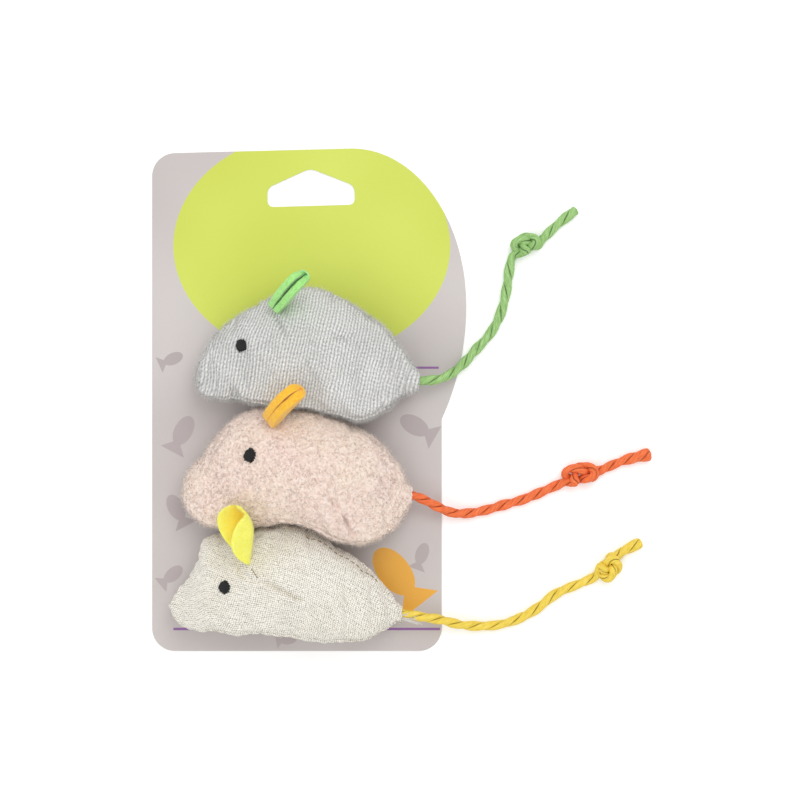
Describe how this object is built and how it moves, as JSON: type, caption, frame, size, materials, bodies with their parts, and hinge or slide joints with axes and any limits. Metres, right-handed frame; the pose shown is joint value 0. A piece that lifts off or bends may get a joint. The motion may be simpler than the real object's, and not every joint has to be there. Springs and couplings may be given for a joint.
{
  "type": "carded set of plush mouse cat toys",
  "caption": "Plush mouse cat toys with folded felt ears and knotted paper cord tails, fastened side by side to a die-cut hang card with a delta hang hole.",
  "frame": {"origin": "under the middle of the hang card, on the surface that it lies on", "axes": "+Z out of the card's printed face, +Y towards its hang hole, +X towards the mice's tails"},
  "size_m": [0.1945, 0.196, 0.0423],
  "materials": {
    "card": "satin print",
    "grey_velour": "ribbed velour",
    "pink_pile": "short curly pile",
    "white_canvas": "plain weave",
    "stuffing": "loose fibre",
    "green_felt": "felt",
    "orange_felt": "felt",
    "yellow_felt": "felt",
    "eye_thread": "stitched thread",
    "tie_thread": "thread",
    "green_cord": "twisted paper",
    "orange_cord": "twisted paper",
    "yellow_cord": "twisted paper"
  },
  "bodies": {
    "carded_mice": {"hang_card": "card", "grey_left_side": "grey_velour", "grey_belly_gusset": "grey_velour", "grey_right_side": "grey_velour", "grey_stuffing": "stuffing", "grey_right_ear": "green_felt", "grey_left_eye": "eye_thread", "grey_right_eye": "eye_thread", "grey_thread_tie": "tie_thread", "pink_left_side": "pink_pile", "pink_belly_gusset": "pink_pile", "pink_right_side": "pink_pile", "pink_stuffing": "stuffing", "pink_right_ear": "orange_felt", "pink_left_eye": "eye_thread", "pink_right_eye": "eye_thread", "pink_thread_tie": "tie_thread", "white_left_side": "white_canvas", "white_belly_gusset": "white_canvas", "white_right_side": "white_canvas", "white_stuffing": "stuffing", "white_right_ear": "yellow_felt", "white_left_eye": "eye_thread", "white_right_eye": "eye_thread", "white_thread_tie": "tie_thread"},
    "grey_ear": {"grey_left_ear": "green_felt"},
    "pink_ear": {"pink_left_ear": "orange_felt"},
    "white_ear": {"white_left_ear": "yellow_felt"},
    "grey_tail": {"grey_tail_cord": "green_cord", "grey_tail_knot": "green_cord"},
    "pink_tail": {"pink_tail_cord": "orange_cord", "pink_tail_knot": "orange_cord"},
    "white_tail": {"white_tail_cord": "yellow_cord", "white_tail_knot": "yellow_cord"}
  },
  "joints": [
    {"name": "grey_ear_flap", "type": "hinge", "parent": "carded_mice", "child": "grey_ear", "pos_m": [-0.0102, 0.03647, 0.02548], "axis": [-0.05, -0.788, 0.6136], "range_deg": [-20, 40], "stiffness_Nm_per_rad": 0.004},
    {"name": "pink_ear_flap", "type": "hinge", "parent": "carded_mice", "child": "pink_ear", "pos_m": [-0.01298, -0.00762, 0.0273], "axis": [0.1252, -0.7691, 0.6267], "range_deg": [-15, 40], "stiffness_Nm_per_rad": 0.004},
    {"name": "white_ear_flap", "type": "hinge", "parent": "carded_mice", "child": "white_ear", "pos_m": [-0.02314, -0.06093, 0.02879], "axis": [0.9263, -0.1625, 0.34], "range_deg": [-8, 40], "stiffness_Nm_per_rad": 0.004},
    {"name": "grey_tail_swing", "type": "hinge", "parent": "carded_mice", "child": "grey_tail", "pos_m": [0.0425, 0.0073, 0.00979], "axis": [0, 0, 1], "range_deg": [-30, 14]},
    {"name": "pink_tail_swing", "type": "hinge", "parent": "carded_mice", "child": "pink_tail", "pos_m": [0.0398, -0.03675, 0.01], "axis": [0, 0, 1], "range_deg": [-8, 20]},
    {"name": "white_tail_swing", "type": "hinge", "parent": "carded_mice", "child": "white_tail", "pos_m": [0.03604, -0.08254, 0.0095], "axis": [0, 0, 1], "range_deg": [-20, 7]}
  ]
}
